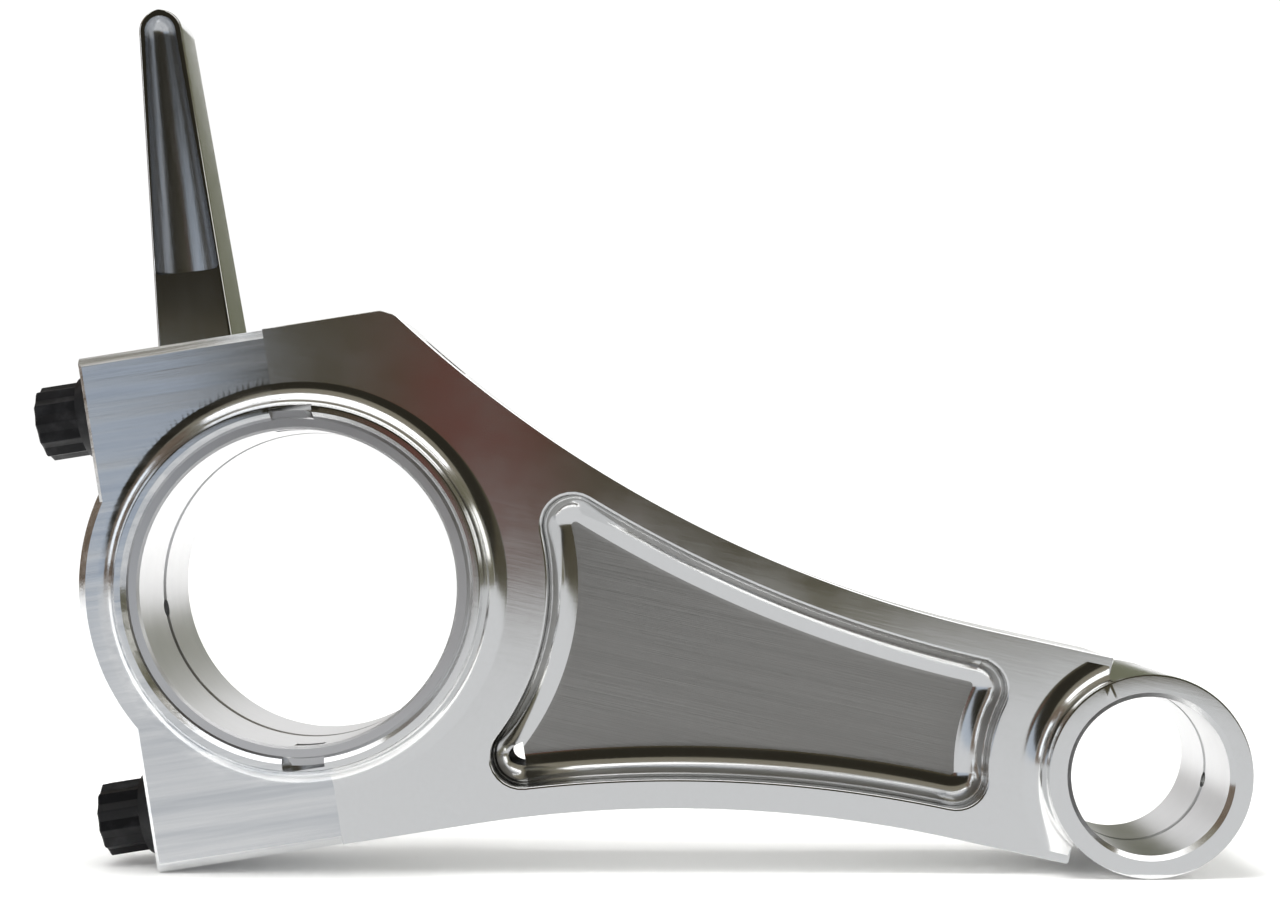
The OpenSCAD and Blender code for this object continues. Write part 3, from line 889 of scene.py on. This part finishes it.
def screw_shank():
    """Flange, shank and rolled thread, from the head down."""
    steps, rows_per_pitch = 72, 10
    profile = [(flange_r - 1.7, -flange_t - 0.15), (flange_r - 0.9, -flange_t + 0.1),
               (flange_r - 0.2, -0.95), (flange_r, -0.7), (flange_r, -0.2), (flange_r - 0.2, 0.0),
               (bolt_r + 0.1, 0.0), (bolt_r, 0.15), (bolt_r, 2.0),
               (bolt_r, bolt_l - thread_l - 0.6), (bolt_r, bolt_l - thread_l)]
    rows = [([r] * steps, x) for r, x in profile]
    for j in range(1, int(thread_l / pitch * rows_per_pitch) + 1):
        x = bolt_l - thread_l + j * pitch / rows_per_pitch
        fade = min(1.0, j / (2.0 * rows_per_pitch))
        tip_r = bolt_r - max(0.0, x - (bolt_l - tip_chamfer)) * 0.95
        radii = []
        for k in range(steps):
            phase = (j / rows_per_pitch - k / steps) % 1.0
            depth = thread_depth * fade * (1 - abs(2 * phase - 1)) ** 0.9
            radii.append(min(bolt_r - depth, tip_r))
        rows.append((radii, x))
    turns = [math.tau * k / steps for k in range(steps)]
    return lofted([[(x, r * math.cos(t), r * math.sin(t)) for r, t in zip(radii, turns)]
                   for radii, x in rows])


def screw_head(turn):
    """Twelve-point head with a rounded top and a shallow dish."""
    top, round_r = -flange_t - head_t, head_r * 0.93
    levels = [(-flange_t + 0.4, 1.0), (top + 0.55, 1.0), (top + 0.3, 0.985), (top + 0.1, 0.94),
              (top, 0.87), (top, 0.66), (top + 0.35, 0.60), (top + 0.5, 0.3)]
    rings = []
    for x, size in levels:
        blend = min(1.0, max(0.0, (0.99 - size) / 0.15))
        radii = [((r * (1 - blend) + round_r * blend) * size, a)
                 for r, a in twelve_points(head_r)]
        rings.append([(x, r * math.cos(a), r * math.sin(a)) for r, a in radii])
    head = lofted(rings)
    edges = [e for e in head.edges if abs(e.verts[0].co.x - e.verts[1].co.x) > 3
             and math.hypot(e.verts[0].co.y, e.verts[0].co.z) > head_r * 0.97]
    bmesh.ops.bevel(head, geom=edges, offset=0.18, segments=2, profile=0.5,
                    affect="EDGES", material=-1)
    bmesh.ops.rotate(head, cent=(0, 0, 0), matrix=Matrix.Rotation(turn, 3, "X"), verts=head.verts)
    return head


def oxide(start, shader):
    """Black oxide: nearly black, satin, and a little greyer where it has been handled."""
    grain = stretched_noise(start, 0.0, (0.5 * MM, 0.5 * MM, 0.5 * MM), 4.0)
    handled = stretched_noise(start, 0.0, (2.5 * MM, 2.5 * MM, 2.5 * MM), 4.0)
    wear = ramp(start, handled, (0.5, 0.0), (0.8, 1.0))
    shader.inputs["Metallic"].default_value = 0.0
    shader.inputs["Specular IOR Level"].default_value = 0.25
    plug(start.tree, shader.inputs["Roughness"], 0.34 + grain * 0.2)
    plug(start.tree, shader.inputs["Base Color"],
         tint(start, wear, (0.004, 0.004, 0.005), (0.020, 0.020, 0.022)))
    bump(start, shader, grain, 0.01)


black_oxide = metal("black_oxide", oxide)
for name, node, body, slot, side, turn in (
    ("upper_bolt_screw", "upper_bolt", "upper_screw", "upper_bolt_steel", 1, 0.0),
    ("lower_bolt_screw", "lower_bolt", "lower_screw", "lower_bolt_steel", -1, math.radians(7)),
):
    screw = solid(name, screw_shank())
    combine(screw, "UNION", screw_head(turn))
    at_seat = Matrix.Translation((-seat, 0, side * bolt_n))
    screw.data.transform(Matrix.Rotation(-rise, 4, "Y") @ at_seat)
    shaded(in_metres(screw), 24.0)
    screw.data.materials.append(black_oxide)
    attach(screw, body)
    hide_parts(node)


# ---------- ring dowels ----------
# Two thin ground sleeves round the bolts line the cap up with the rod. They are turned from
# steel with a lead-in chamfer at each end.

def make_dowel(name, side):
    half, lead = dowel_l / 2, 0.3
    outer = [(bolt_hole_r + 0.15, half), (dowel_r - lead, half), (dowel_r - 0.08, half - lead),
             (dowel_r, half - lead - 0.15)]
    bore = [(bolt_hole_r, 0.2 - half), (bolt_hole_r, half - 0.2)]
    ring = turned(outer + [(r, -y) for r, y in reversed(outer)] + bore, 96, closed=True)
    dowel = solid(name, ring)
    dowel.data.transform(Matrix.Rotation(math.pi / 2, 4, "Z"))
    at_split = Matrix.Translation((0, 0, side * bolt_n))
    dowel.data.transform(Matrix.Rotation(-rise, 4, "Y") @ at_split)
    return shaded(in_metres(dowel))


def ground(start, shader):
    """Ground steel: fine rings round the sleeve and a faint film of oil."""
    rings = stretched_noise(start, -rise, (0.08 * MM, 20 * MM, 20 * MM), 3.0)
    film = stretched_noise(start, 0.0, (3 * MM, 3 * MM, 3 * MM), 3.0)
    plug(start.tree, shader.inputs["Roughness"], 0.18 + rings * 0.12 + film * 0.08)
    plug(start.tree, shader.inputs["Base Color"],
         tint(start, film, (0.50, 0.50, 0.52), (0.64, 0.64, 0.66)))
    bump(start, shader, rings, 0.004)


dowel_steel = metal("dowel_steel", ground)
for name, node, slot, side in (
    ("upper_dowel_sleeve", "upper_dowel", "upper_dowel_steel", 1),
    ("lower_dowel_sleeve", "lower_dowel", "lower_dowel_steel", -1),
):
    dowel = make_dowel(name, side)
    dowel.data.materials.append(dowel_steel)
    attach(dowel, "rod")
    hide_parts(node)
